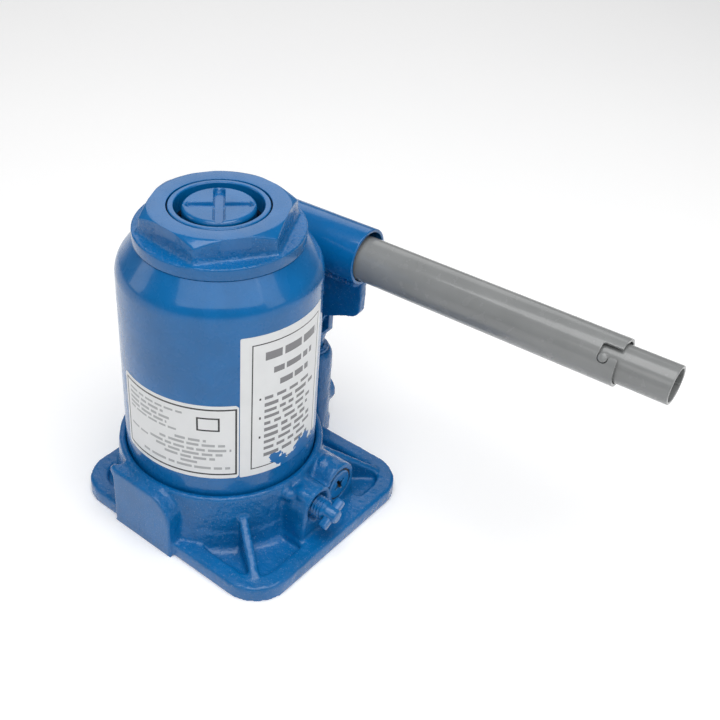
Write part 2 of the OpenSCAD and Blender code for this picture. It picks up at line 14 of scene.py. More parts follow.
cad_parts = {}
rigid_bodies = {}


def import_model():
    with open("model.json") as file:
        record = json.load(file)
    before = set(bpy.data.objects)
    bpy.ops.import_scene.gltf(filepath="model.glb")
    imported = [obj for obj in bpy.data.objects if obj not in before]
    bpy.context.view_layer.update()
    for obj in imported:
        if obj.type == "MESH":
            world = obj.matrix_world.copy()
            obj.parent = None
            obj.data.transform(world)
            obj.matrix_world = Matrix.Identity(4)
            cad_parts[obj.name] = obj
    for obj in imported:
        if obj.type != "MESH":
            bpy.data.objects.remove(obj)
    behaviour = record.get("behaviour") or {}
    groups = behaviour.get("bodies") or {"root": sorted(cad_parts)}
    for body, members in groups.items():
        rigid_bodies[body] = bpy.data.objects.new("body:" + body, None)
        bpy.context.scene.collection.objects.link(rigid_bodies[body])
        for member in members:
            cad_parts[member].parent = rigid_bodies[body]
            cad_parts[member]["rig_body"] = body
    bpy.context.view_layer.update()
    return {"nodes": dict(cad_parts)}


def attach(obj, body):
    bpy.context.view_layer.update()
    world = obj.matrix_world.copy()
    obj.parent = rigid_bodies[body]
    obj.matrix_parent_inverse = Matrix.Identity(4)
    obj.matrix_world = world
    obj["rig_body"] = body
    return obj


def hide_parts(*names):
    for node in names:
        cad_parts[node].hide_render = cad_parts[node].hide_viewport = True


MM = 0.001
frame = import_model()
NODES = frame["nodes"]

# Places and sizes that several pieces share, from the ram axis and the floor
TANK_R = 51.1
NUT_TOP = 175.0
PAD_FACE = -61.35
PUMP_X, PUMP_Y = 6.5, 69.3
LINKAGE_TURN = 2.95
SOCKET_Z, SOCKET_END = 129.7, 31.3
HANDLE_Z, HANDLE_DROOP = 128.41, 0.526
CAP_Y, CAP_Z = 21.2, 23.3
RELEASE_Y, RELEASE_Z = -0.5, 25.0


# ---------------------------------------------------------------- materials


def new_material(name):
    mat = bpy.data.materials.new(name)
    mat.use_nodes = True
    tree = mat.node_tree
    return mat, tree, tree.nodes["Principled BSDF"]


def link(tree, a, out, b, into):
    tree.links.new(a.outputs[out], b.inputs[into])


def noise(tree, scale, detail=2.0, stretch=None):
    """Noise in the object's own metres; stretch scales each axis first."""
    coords = tree.nodes.new("ShaderNodeTexCoord")
    tex = tree.nodes.new("ShaderNodeTexNoise")
    tex.inputs["Scale"].default_value = scale
    tex.inputs["Detail"].default_value = detail
    if stretch:
        mapping = tree.nodes.new("ShaderNodeMapping")
        mapping.inputs["Scale"].default_value = stretch
        link(tree, coords, "Object", mapping, "Vector")
        link(tree, mapping, "Vector", tex, "Vector")
    else:
        link(tree, coords, "Object", tex, "Vector")
    return tex


def calc(tree, operation, a, b):
    """A math node; a and b are numbers or (node, output) pairs."""
    node = tree.nodes.new("ShaderNodeMath")
    node.operation = operation
    for i, v in enumerate((a, b)):
        if isinstance(v, tuple):
            link(tree, *v, node, i)
        else:
            node.inputs[i].default_value = v
    return node, "Value"


def ramp(tree, source, low, high, dark, light):
    """A colour ramp from dark at low to light at high; source is a (node, output) pair."""
    node = tree.nodes.new("ShaderNodeValToRGB")
    node.color_ramp.elements[0].position = low
    node.color_ramp.elements[1].position = high
    node.color_ramp.elements[0].color = (*dark, 1)
    node.color_ramp.elements[1].color = (*light, 1)
    link(tree, *source, node, "Fac")
    return node


def bump(tree, bsdf, layers, into="Normal"):
    """Chained bumps; layers are (source, distance in mm, strength)."""
    last = None
    for source, distance, strength in layers:
        node = tree.nodes.new("ShaderNodeBump")
        node.inputs["Strength"].default_value = strength
        node.inputs["Distance"].default_value = distance * MM
        link(tree, *source, node, "Height")
        if last:
            link(tree, last, "Normal", node, "Normal")
        last = node
    link(tree, last, "Normal", bsdf, into)


# Colour of the light specks: partly dirt, partly painted glints for the sparkle of the grainy paint
DUST_AND_GLINT = (0.30, 0.45, 0.66)


def paint(name, dark, light, rough, coat, peel, grain, specks=0.0, brushed=False):
    """Sprayed paint with orange peel, slight colour changes, and light specks that are partly dirt and partly
    painted glints.

    grain is the roughness of the surface under it; brushed adds the cutter's marks on the machined pad.
    """
    mat, tree, bsdf = new_material(name)
    blotch = ramp(tree, (noise(tree, 45, 3), "Fac"), 0.35, 0.65, dark, light)
    colour = (blotch, "Color")
    if specks:
        # Light specks mixed into the colour: partly dirt, partly painted glints
        dirt_and_glint_specks = ramp(tree, (noise(tree, 1300, 1), "Fac"), 0.66, 0.72, (0, 0, 0), (1, 1, 1))
        part = calc(tree, "MULTIPLY", (dirt_and_glint_specks, "Color"), specks)
        mix = tree.nodes.new("ShaderNodeMix")
        mix.data_type = "RGBA"
        mix.inputs["B"].default_value = (*DUST_AND_GLINT, 1)
        link(tree, *part, mix, "Factor")
        link(tree, *colour, mix, "A")
        colour = (mix, "Result")
    link(tree, *colour, bsdf, "Base Color")
    bsdf.inputs["Specular IOR Level"].default_value = 0.3
    bsdf.inputs["Coat Weight"].default_value = coat
    bsdf.inputs["Coat Roughness"].default_value = 0.06
    wear = ramp(tree, (noise(tree, 160, 3), "Fac"), 0.3, 0.7, (rough * 0.8,) * 3, (rough * 1.25,) * 3)
    link(tree, wear, "Color", bsdf, "Roughness")
    coarse = (noise(tree, 420 if grain else 230, 1), "Fac")
    if brushed:
        coords = tree.nodes.new("ShaderNodeTexCoord")
        split = tree.nodes.new("ShaderNodeSeparateXYZ")
        link(tree, coords, "Object", split, "Vector")
        face = calc(tree, "LESS_THAN", (split, "Y"), PAD_FACE * MM)
        marks = (noise(tree, 1, 3, (1400, 40, 40)), "Fac")
        marks = calc(tree, "MULTIPLY", calc(tree, "MULTIPLY", marks, 0.5), face)
        rest = calc(tree, "SUBTRACT", 1.0, face)
        coarse = calc(tree, "ADD", calc(tree, "MULTIPLY", coarse, rest), marks)
    layers = [(coarse, 0.5, peel)]
    if grain:
        layers.append(((noise(tree, 1500, 2), "Fac"), 0.25, grain))
    bump(tree, bsdf, layers)
    bump(tree, bsdf, [(coarse, 0.5, peel * 0.8)], "Coat Normal")
    return mat


def metal(name, colour, rough, stretch=None):
    """Bare steel; stretch gives the direction of its grinding lines."""
    mat, tree, bsdf = new_material(name)
    bsdf.inputs["Metallic"].default_value = 1.0
    shade = ramp(tree, (noise(tree, 60, 3), "Fac"), 0.3, 0.7, tuple(c * 0.85 for c in colour), colour)
    link(tree, shade, "Color", bsdf, "Base Color")
    lines = noise(tree, 1, 3, stretch) if stretch else noise(tree, 900, 3)
    wear = ramp(tree, (lines, "Fac"), 0.3, 0.7, (rough * 0.75,) * 3, (rough * 1.3,) * 3)
    link(tree, wear, "Color", bsdf, "Roughness")
    bump(tree, bsdf, [((lines, "Fac"), 0.05, 0.15)])
    return mat


def rubber_like(name, colour):
    mat, tree, bsdf = new_material(name)
    shade = ramp(tree, (noise(tree, 300, 3), "Fac"), 0.3, 0.7, tuple(c * 0.7 for c in colour), colour)
    link(tree, shade, "Color", bsdf, "Base Color")
    bsdf.inputs["Roughness"].default_value = 0.55
    bump(tree, bsdf, [((noise(tree, 2500, 2), "Fac"), 0.05, 0.3)])
    return mat


# The blue mist on the safety label: it lies below MIST_TOP, right of MIST_SIDE, and in round
# spots given by their angle, height and reach
MIST_R = 51.3
MIST_TOP = 46.2
MIST_SIDE = -13
MIST_RAGGED = 12
MIST_SPOTS = ((-14.9, 55.2, 8.2), (-11.5, 52.5, 8.0), (8.7, 55.5, 9.2), (3, 52.5, 8.6))


def print_on(name, colour, blue):
    """Label paper or ink, with the blue mist that covers the safety label's foot."""
    mat, tree, bsdf = new_material(name)
    tone = ramp(tree, (noise(tree, 120, 2), "Fac"), 0.3, 0.7, tuple(c * 0.96 for c in colour), colour)
    coords = tree.nodes.new("ShaderNodeTexCoord")
    split = tree.nodes.new("ShaderNodeSeparateXYZ")
    link(tree, coords, "Object", split, "Vector")
    ragged = calc(tree, "MULTIPLY", (noise(tree, 260, 4), "Fac"), MIST_RAGGED * MM)
    low = calc(tree, "SUBTRACT", (split, "Z"), ragged)
    covered = calc(tree, "LESS_THAN", low, MIST_TOP * MM)
    side = calc(tree, "SUBTRACT", (split, "Y"), calc(tree, "MULTIPLY", ragged, 0.5))
    covered = calc(tree, "MULTIPLY", covered, calc(tree, "GREATER_THAN", side, MIST_SIDE * MM))
    for angle, z, reach in MIST_SPOTS:
        a = math.radians(angle)
        gap = tree.nodes.new("ShaderNodeVectorMath")
        gap.operation = "DISTANCE"
        gap.inputs[1].default_value = (MIST_R * MM * math.cos(a), MIST_R * MM * math.sin(a), z * MM)
        link(tree, coords, "Object", gap, 0)
        far = calc(tree, "ADD", (gap, "Value"), calc(tree, "MULTIPLY", ragged, 0.8))
        near = calc(tree, "LESS_THAN", far, reach * MM)
        covered = calc(tree, "MAXIMUM", covered, near)
    mix = tree.nodes.new("ShaderNodeMix")
    mix.data_type = "RGBA"
    mix.inputs["B"].default_value = (*blue, 1)
    link(tree, *covered, mix, "Factor")
    link(tree, tone, "Color", mix, "A")
    link(tree, mix, "Result", bsdf, "Base Color")
    bsdf.inputs["Roughness"].default_value = 0.33
    bump(tree, bsdf, [((noise(tree, 90, 2), "Fac"), 0.3, 0.2)])
    return mat


DEEP, BRIGHT = (0.0006, 0.113, 0.325), (0.001, 0.134, 0.385)
BLUE = paint("blue_gloss", DEEP, BRIGHT, 0.26, 0.45, 0.04, 0.0)
BLUE_ROUGH = paint("blue_over_rough", DEEP, BRIGHT, 0.24, 0.3, 0.9, 1.0, specks=0.25)
CAST = paint("blue_over_cast", DEEP, BRIGHT, 0.2, 0.3, 0.6, 0.9, specks=0.22, brushed=True)
GREY = paint("grey_semi_gloss", (0.225, 0.232, 0.232), (0.25, 0.257, 0.257), 0.24, 0.4, 0.03, 0.0)
STEEL = metal("steel_turned", (0.56, 0.57, 0.58), 0.28)
RAM_STEEL = metal("steel_ground", (0.62, 0.63, 0.64), 0.16, (80, 80, 2600))
# Near-black navy steel for the parts deep in the ram's recess: oiled metal, darkened as painted shade
DARK_STEEL = metal("steel_oiled_shade_dark", (0.03, 0.045, 0.075), 0.45)
RUBBER = rubber_like("rubber_black", (0.007, 0.007, 0.008))
PAPER = print_on("label_paper", (0.78, 0.79, 0.795), BRIGHT)
INK = print_on("label_ink", (0.018, 0.018, 0.02), BRIGHT)
SOFT_INK = print_on("label_small_print", (0.21, 0.21, 0.22), BRIGHT)
FAINT_INK = print_on("label_fine_print", (0.40, 0.41, 0.42), BRIGHT)


# ---------------------------------------------------------------- geometry helpers

ALONG_X = Matrix.Rotation(math.radians(90), 4, "Y")
LINKAGE = Matrix.Translation((PUMP_X, PUMP_Y, 0)) @ Matrix.Rotation(math.radians(LINKAGE_TURN), 4, "Z")


def handle_frame(drop=0.0):
    """The handle's own frame: X runs along its drooping axis, and drop lowers it in the tube."""
    return (
        LINKAGE
        @ Matrix.Translation((SOCKET_END, 0, HANDLE_Z))
        @ Matrix.Rotation(math.radians(HANDLE_DROOP), 4, "Y")
        @ Matrix.Translation((-SOCKET_END, 0, -drop))
    )


def make(name, verts, faces, materials, node, slot, place=None, pick=None, extra=False, sharp=35, merge=1e-3):
    """A piece from points in mm that stands for a CAD node, or goes with it when extra is true.

    pick gives a face's material from its centre.
    """
    mesh = bpy.data.meshes.new(name)
    pts = np.asarray(verts, float)
    if place is not None:
        m = np.array(place)
        pts = pts @ m[:3, :3].T + m[:3, 3]
    mesh.from_pydata((pts * MM).tolist(), [], faces)
    bm = bmesh.new()
    bm.from_mesh(mesh)
    if merge:
        bmesh.ops.remove_doubles(bm, verts=bm.verts, dist=merge * MM)
        bmesh.ops.dissolve_degenerate(bm, edges=bm.edges, dist=merge * MM / 2)
    bmesh.ops.recalc_face_normals(bm, faces=bm.faces)
    bm.to_mesh(mesh)
    bm.free()
    obj = bpy.data.objects.new(name, mesh)
    bpy.context.scene.collection.objects.link(obj)
    return dress(obj, materials, node, pick, extra, sharp)


def dress(obj, materials, node, pick=None, extra=False, sharp=35):
    """Gives a piece its materials, shading and body, and hides the CAD node it stands for unless extra is
    true.
    """
    mesh = obj.data
    mesh.materials.clear()
    for m in materials:
        mesh.materials.append(m)
    if pick:
        for p in mesh.polygons:
            p.material_index = pick(p.center / MM)
    mesh.shade_smooth()
    mesh.set_sharp_from_angle(angle=math.radians(sharp))
    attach(obj, NODES[node]["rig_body"])
    if not extra:
        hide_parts(node)
    return obj


def soften(points, radius, steps=4):
    """A closed outline with its corners rounded; radius is one number or one a corner."""
    out = []
    n = len(points)
    radii = radius if isinstance(radius, (list, tuple)) else [radius] * n
    for i, p in enumerate(points):
        p = np.array(p, float)
        a = np.array(points[i - 1], float) - p
        b = np.array(points[(i + 1) % n], float) - p
        la, lb = np.linalg.norm(a), np.linalg.norm(b)
        r = min(radii[i], 0.45 * la, 0.45 * lb)
        if r < 1e-4:
            out += [tuple(p)] * (steps + 1)
            continue
        start, end = p + a / la * r, p + b / lb * r
        for k in range(steps + 1):
            t = k / steps
            out.append(tuple((1 - t) ** 2 * start + 2 * t * (1 - t) * p + t * t * end))
    return out


def lathe(outline, steps=192):
    """Turns a closed outline of (radius, height) about Z; outline may be a function of the angle."""
    rows = []
    for i in range(steps):
        a = 2 * math.pi * i / steps
        pts = outline(a) if callable(outline) else outline
        rows.append([(r * math.cos(a), r * math.sin(a), h) for r, h in pts])
    n = len(rows[0])
    verts = [v for row in rows for v in row]
    faces = []
    for i in range(steps):
        k = (i + 1) % steps
        for j in range(n):
            m = (j + 1) % n
            faces.append((i * n + j, k * n + j, k * n + m, i * n + m))
    return verts, faces


def ring_faces(rings, steps):
    """Faces between stacked rings that have steps points each."""
    faces = []
    for i in range(rings - 1):
        for k in range(steps):
            m = (k + 1) % steps
            faces.append((i * steps + k, i * steps + m, (i + 1) * steps + m, (i + 1) * steps + k))
    return faces


def waves(p, size, seed, count=9):
    """Smooth random height about 0, with features of the given size, at every point of an array."""
    rng = np.random.default_rng(seed)
    total = np.zeros(len(p))
    for _ in range(count):
        d = rng.normal(size=3)
        d /= np.linalg.norm(d)
        k = 2 * math.pi / (size * rng.uniform(0.7, 1.5))
        total += np.sin(p @ d * k + rng.uniform(0, 6.28))
    return total / math.sqrt(count)


def cut_sheet(us, vs, shape):
    """A grid over us and vs without the cells where shape(u, v) is above 0.

    The points of the cut edge are moved onto shape = 0.
    """
    u, v = np.meshgrid(us, vs, indexing="ij")
    p = np.stack([u.ravel(), v.ravel()], 1)
    nu, nv = len(us), len(vs)
    i, j = np.meshgrid(np.arange(nu - 1), np.arange(nv - 1), indexing="ij")
    quads = np.stack([i * nv + j, (i + 1) * nv + j, (i + 1) * nv + j + 1, i * nv + j + 1], -1).reshape(-1, 4)
    keep = shape(*p[quads].mean(1).T) < 0
    used = np.zeros(len(p), int)
    full = np.zeros(len(p), int)
    np.add.at(full, quads.ravel(), 1)
    np.add.at(used, quads[keep].ravel(), 1)
    edge = (used > 0) & (used < full)
    for _ in range(4):
        e, h = p[edge], 0.02
        s = shape(e[:, 0], e[:, 1])
        gx = (shape(e[:, 0] + h, e[:, 1]) - shape(e[:, 0] - h, e[:, 1])) / (2 * h)
        gy = (shape(e[:, 0], e[:, 1] + h) - shape(e[:, 0], e[:, 1] - h)) / (2 * h)
        size = np.maximum(gx * gx + gy * gy, 0.25)
        step = np.stack([s * gx / size, s * gy / size], 1)
        p[edge] = e - np.clip(step, -0.4, 0.4)
    return p, quads[keep]


def thicken(p, quads, inner, outer):
    """Closes a sheet into a shell: inner and outer map its points to space, and open edges are joined."""
    n = len(p)
    verts = np.concatenate([outer(p), inner(p)])
    faces = [tuple(int(x) for x in q) for q in quads]
    seen = {}
    for q in faces:
        for k in range(4):
            a, b = q[k], q[(k + 1) % 4]
            if (b, a) in seen:
                del seen[(b, a)]
            else:
                seen[(a, b)] = True
    back = [tuple(x + n for x in reversed(q)) for q in faces]
    rim = [(b, a, a + n, b + n) for a, b in seen]
    return verts, faces + back + rim


def bake(obj):
    """The object's modifiers turned into its mesh."""
    dg = bpy.context.evaluated_depsgraph_get()
    mesh = bpy.data.meshes.new_from_object(obj.evaluated_get(dg), depsgraph=dg)
    obj.modifiers.clear()
    obj.data = mesh
    return obj


def copy_of(node, name, extras=()):
    """A bare copy of a CAD node's mesh with its seams closed.

    It is joined with extras, which are other solids as (verts, faces) in mm.
    """
    bm = bmesh.new()
    bm.from_mesh(NODES[node].data)
    for verts, faces in extras:
        made = [bm.verts.new(Vector(v) * MM) for v in verts]
        for f in faces:
            bm.faces.new([made[i] for i in f])
    bmesh.ops.remove_doubles(bm, verts=bm.verts, dist=1e-6)
    mesh = bpy.data.meshes.new(name)
    bm.to_mesh(mesh)
    bm.free()
    if "custom_normal" in mesh.attributes:
        mesh.attributes.remove(mesh.attributes["custom_normal"])
    obj = bpy.data.objects.new(name, mesh)
    bpy.context.scene.collection.objects.link(obj)
    return obj


def skin(node, name, voxel, passes, materials, extras=(), hold=None, rough=None, pick=None):
    """A cast or forged surface over a CAD node: remeshed, its edges worn round, then made uneven.

    hold gives 0 where a point must stay, and rough gives the height of the unevenness.
    """
    obj = copy_of(node, name, extras)
    mod = obj.modifiers.new("skin", "REMESH")
    mod.mode = "VOXEL"
    mod.voxel_size = voxel * MM
    mod.adaptivity = 0.0
    bake(obj)
    mesh = obj.data
    n = len(mesh.vertices)
    co = np.empty(n * 3, np.float32)
    mesh.vertices.foreach_get("co", co)
    p = co.reshape(-1, 3).astype(float) / MM
    e = np.empty(len(mesh.edges) * 2, np.int32)
    mesh.edges.foreach_get("vertices", e)
    a, b = e.reshape(-1, 2).T
    count = np.bincount(a, minlength=n) + np.bincount(b, minlength=n)
    weight = np.ones(n) if hold is None else hold(p)
    for _ in range(passes):
        mean = np.stack(
            [np.bincount(a, p[b, k], n) + np.bincount(b, p[a, k], n) for k in range(3)], 1
        ) / np.maximum(count, 1)[:, None]
        p += 0.5 * weight[:, None] * (mean - p)
    if rough:
        mesh.vertices.foreach_set("co", (p * MM).astype(np.float32).ravel())
        mesh.update()
        nrm = np.empty(n * 3, np.float32)
        mesh.vertices.foreach_get("normal", nrm)
        p += nrm.reshape(-1, 3) * (rough(p) * weight)[:, None]
    mesh.vertices.foreach_set("co", (p * MM).astype(np.float32).ravel())
    mesh.update()
    return dress(obj, materials, node, pick, sharp=60)


def trim(node, name, width, material):
    """A machined piece: the CAD shape with its sharp edges broken."""
    obj = copy_of(node, name)
    mod = obj.modifiers.new("edges", "BEVEL")
    mod.width = width * MM
    mod.segments = 2
    mod.limit_method = "ANGLE"
    mod.angle_limit = math.radians(50)
    mod.use_clamp_overlap = True
    bake(obj)
    return dress(obj, [material], node, sharp=32)


def ball(centre, radii, steps=24):
    """An ellipsoid as (verts, faces), for lumps on the casting."""
    half = [(math.cos(t), math.sin(t)) for t in np.linspace(-math.pi / 2, math.pi / 2, steps // 2)]
    verts = []
    for c, s in half:
        for k in range(steps):
            a = 2 * math.pi * k / steps
            x = centre[0] + radii[0] * c * math.cos(a)
            y = centre[1] + radii[1] * c * math.sin(a)
            verts.append((x, y, centre[2] + radii[2] * s))
    return verts, ring_faces(len(half), steps)


# ---------------------------------------------------------------- base casting


PLATE_X = (-56.0, 80.1)
PLATE_Y = (-59.2, 67.4)


def plate_reach(a):
    """How far the plate goes from the ram axis in direction a, less its worn edge."""
    reaches = []
    for part, (low, high) in ((math.cos(a), PLATE_X), (math.sin(a), PLATE_Y)):
        if abs(part) > 1e-6:
            reaches.append((high if part > 0 else low) / part)
    return min(reaches) - 1.5


def foot_fillet(a):
    """Section of the ring of metal between the plate and the cup, kept inside the plate."""
    limit = max(plate_reach(a), 56.5)
    rows = [(53, 4), (62, 4), (62, 5.1), (59.8, 6.2), (58.5, 8.2), (57.7, 11), (57.0, 15), (53, 15)]
    return [(min(r, limit), z) for r, z in rows]


def still_places(p):
    """0 in the bores that hold other pieces, 1 elsewhere."""
    x, y, z = p.T
    r = np.hypot(x, y)
    bore = (r < 52.2) & (z > 22)
    release = (np.hypot(y - RELEASE_Y, z - RELEASE_Z) < 7.2) & (x > 40) & (x < 68.8)
    cap = (np.hypot(y - CAP_Y, z - CAP_Z) < 10.6) & (x > 37)
    pump = (np.hypot(x - PUMP_X, y - PUMP_Y) < 10.0) & (z > 15)
    floor = z < 0.4
    return np.where(bore | release | cap | pump | floor, 0.0, 1.0)


def cast_surface(p):
    """Height of the sand-cast unevenness in mm; the machined pad and the faces of the bosses stay flatter."""
    h = 0.09 * waves(p, 11, 3) + 0.05 * waves(p, 4, 4) + 0.035 * waves(p, 1.8, 5)
    flat = (p[:, 1] < -61.2) | ((p[:, 0] > 65.6) & (p[:, 2] > 12) & (p[:, 1] > 10))
    return np.where(flat, 0.0, h)


skin(
    "base_casting",
    "base_cast",
    0.75,
    9,
    [CAST],
    extras=[
        lathe(foot_fillet, 180),
        ball((63, -5.5, 33.6), (5.5, 4.5, 3.4)),
        ball((56, -9.5, 31.8), (4.5, 4, 3.2)),
        ball((56, 20.5, 34.6), (3.2, 5.5, 2.4)),
        ball((65.5, -11.2, 12), (3, 3, 9)),
        ball((-20, -58, 33.5), (5, 3.2, 3.0)),
    ],
    hold=still_places,
    rough=cast_surface,
)

# ---------------------------------------------------------------- reservoir and nut


def shell_outline():
    """Straight wall, rounded shoulder and neck cone, with the inside wall 2.5 mm in."""
    foot, shoulder, top = 30.9, 140.5, 158.0
    wall, neck = 2.5, 36.2
    bend, last_turn = 14.6, 36
    centre, inside = TANK_R - bend, TANK_R - wall
    pts = [(TANK_R, foot), (TANK_R, 60), (TANK_R, 100), (TANK_R, shoulder)]
    for turn in np.radians(np.linspace(2, last_turn, 18)):
        pts.append((centre + bend * math.cos(turn), shoulder + bend * math.sin(turn)))
    r, z = pts[-1]
    slope = math.tan(math.radians(last_turn))
    pts += [(r - (height - z) * slope, height) for height in np.linspace(z + 1.2, top, 8)]
    return pts + [(neck, top), (neck, top - wall), (44, 153), (inside, 140), (inside, foot)]


make("reservoir", *lathe(shell_outline(), 256), [BLUE], "reservoir_shell", "blue_paint", sharp=40)


NUT_FLAT = 33.5
NUT_CORNER = 38.45
NUT_FACE = 33.75
NUT_TURN = -4.2


def hexagon(a):
    """Radius of the nut's side in direction a, with its corners slightly worn."""
    t = (math.degrees(a) - NUT_TURN) % 60
    r = NUT_FLAT / math.cos(math.radians(t - 30))
    return min(r, NUT_CORNER - 0.02 * max(0, 3 - min(t, 60 - t)))


def nut_outline(a):
    """Section of the nut in direction a: hexagon, uneven flange, threaded skirt and bore."""
    side = hexagon(a)
    wob = 0.12 * math.sin(5 * a + 1) + 0.09 * math.sin(11 * a) + 0.06 * math.sin(23 * a + 2)
    chamfer = NUT_TOP - max(0.0, side - NUT_FACE) / math.sqrt(3)
    pts = [
        (25.15, NUT_TOP), (min(side, NUT_FACE) - 0.1, NUT_TOP), (side, min(chamfer, NUT_TOP - 0.1)),
        (side + 0.1, 168.4), (side + 0.35, 166.6), (side + 1.3 + wob, 164.9), (side + 2.6 + wob, 164.45),
        (42, 164.4), (42, 158.1), (35.95, 158.1), (35.95, 143), (31.55, 143), (31.55, 156),
        (24.55, 156), (24.55, 170.4), (27.5, 170.4), (27.5, 173.4), (25.15, 173.4),
    ]
    radii = [0.35, 0.9, 0.9, 1.0, 1.0, 1.2, 0.8, 1.1, 0.7, 0.2, 0.3, 0.3, 0.2, 0.2, 0.2, 0.2, 0.2, 0.3]
    return soften(pts, radii, 4)


def nut_side(c):
    """1 on the nut's forged sides and flange, 0 on its machined faces."""
    return 1 if 163.9 < c.z < 171.8 and math.hypot(c.x, c.y) > 33.0 else 0


make(
    "top_nut", *lathe(nut_outline, 360), [BLUE, BLUE_ROUGH], "tank_nut", "blue_paint",
    pick=nut_side, sharp=50,
)

# ---------------------------------------------------------------- rams

ram = soften(
    [
        (24.5, 50.8), (24.5, NUT_TOP), (21.6, NUT_TOP), (21.4, 158.6), (19.6, 158.6), (19.6, 37.5),
        (3, 37.5), (3, 35), (9.05, 35), (9.05, 33), (26.45, 33), (26.45, 50.8),
    ],
    [0.4, 0.8, 0.8, 0.2, 0.2, 0.2, 0.1, 0.1, 0.1, 0.1, 0.3, 0.3],
)
make(
    "outer_ram_tube", *lathe(ram, 256), [RAM_STEEL, BLUE], "outer_ram", "blue_paint",
    pick=lambda c: 1 if c.z > 174.0 or (c.z > 165 and math.hypot(c.x, c.y) < 23) else 0,
)


def groove(x, y, angle, half, width, depth):
    """Depth of a round-ended groove at a point."""
    a = math.radians(angle)
    u, v = x * math.cos(a) + y * math.sin(a), -x * math.sin(a) + y * math.cos(a)
    over = max(0.0, abs(u) - (half - width))
    d = math.hypot(over, v) - width
    t = min(1.0, max(0.0, (0.35 - d) / 1.1))
    return depth * t * t * (3 - 2 * t)


HEAD_TOP = 174.7
HEAD_R = 17.9
HEAD_EDGE = 2.0
HEAD_FLAT = HEAD_R - HEAD_EDGE
# angle, half length, half width and depth of the head's two grooves
GROOVES = ((132.5, 16.3, 2.7, 2.5), (42.5, 16.0, 2.25, 2.2))


def piston_outline(a):
    """Section of the inner ram in direction a: grooved head with a round edge, rod and piston."""
    pts = []
    for r in [*np.arange(0, HEAD_FLAT - 0.1, 0.34), HEAD_FLAT]:
        x, y = r * math.cos(a), r * math.sin(a)
        pts.append((r, HEAD_TOP - max(groove(x, y, *each) for each in GROOVES)))
    edge_cut = HEAD_TOP - pts[-1][1]
    for t in range(10, 91, 10):
        out, up = HEAD_EDGE * math.sin(math.radians(t)), HEAD_EDGE * math.cos(math.radians(t))
        fade = max(0.0, 1 - t / 40)
        pts.append((HEAD_FLAT + out, HEAD_TOP - HEAD_EDGE + up - edge_cut * fade))
    return pts + [(HEAD_R, 120), (HEAD_R, 53.4), (19.55, 53.4), (19.55, 41), (6, 41), (6, 39), (0, 39)]


make(
    "inner_ram_rod", *lathe(piston_outline, 288), [RAM_STEEL, BLUE], "inner_ram", "blue_paint",
    pick=lambda c: 1 if c.z > 168 else 0, sharp=60,
)

# ---------------------------------------------------------------- overload cap and release screw


CAP_FACE = 66.1
CROSS_TURN = -28
CROSS_REACH = 4.2


def cross_depth(x, y):
    """Depth of the cap's cross recess; its arms get wider and deeper towards the middle."""
    cut = 0.0
    for u, v in ((x, y), (y, x)):
        to_tip = CROSS_REACH - abs(u)
        if to_tip > 0:
            half = 0.8 + 1.1 * max(0.0, 1 - abs(u) / 2.6)
            edge = min(1.0, max(0.0, (half - abs(v)) / 0.22)) * min(1.0, to_tip / 0.4)
            cut = max(cut, edge * min(3.2, 1.4 + 0.8 * to_tip))
    return cut


def cap_outline(a):
    """Section of the screw cap in direction a; height runs along X."""
    a += math.radians(CROSS_TURN)
    pts = [(r, CAP_FACE - cross_depth(r * math.cos(a), r * math.sin(a))) for r in np.arange(0, 7.3, 0.14)]
    return pts + [(7.55, CAP_FACE), (8.05, 65.98), (8.3, 65.75), (8.4, 65.4), (8.4, 61.2), (0, 61.2)]


CAP_PLACE = Matrix.Translation((0, CAP_Y, CAP_Z)) @ ALONG_X
# The walls and floor of the cross recess take the black rubber material as painted shade
make(
    "overload_cover", *lathe(cap_outline, 240), [BLUE, RUBBER], "overload_cap", "blue_paint", place=CAP_PLACE,
    pick=lambda c: 1 if 61.5 < c.x < 65.3 and math.hypot(c.y - CAP_Y, c.z - CAP_Z) < 5 else 0, sharp=45,
)


THREAD_START, THREAD_END = 58.6, 74.6
THREAD_PITCH = 1.75


def screw_outline(a):
    """Section of the release screw in direction a: nose, rolled thread, shank with a domed end."""
    pts = [(0, 48.5), (2.7, 48.5), (3.2, 49), (3.2, 53), (5.2, 53), (5.2, 56), (4.4, 56)]
    pts += [(4.4, 58.2), (5.2, 58.2)]
    for x in np.arange(THREAD_START, THREAD_END, 0.25):
        t = (x / THREAD_PITCH - a / (2 * math.pi)) % 1.0
        crest = min(1.0, max(0.0, 1.25 * (1 - abs(2 * t - 1)) - 0.1))
        ends = min(1.0, (x - THREAD_START) / 1.5, (THREAD_END - x) / 1.2)
        pts.append((5.15 + 0.83 * crest * max(0.0, ends), x))
    pts += [(5.0, 74.7), (4.3, 75.1), (3.8, 75.6), (3.8, 80.6)]
    return pts + [(3.6, 81.2), (3.1, 81.6), (2.2, 81.7), (0, 81.7)]


RELEASE_AXIS = Matrix.Translation((0, RELEASE_Y, RELEASE_Z))
BAR_TURN = 28
make(
    "release_spindle", *lathe(screw_outline, 144), [BLUE], "release_screw", "blue_paint",
    place=RELEASE_AXIS @ ALONG_X, sharp=55,
)


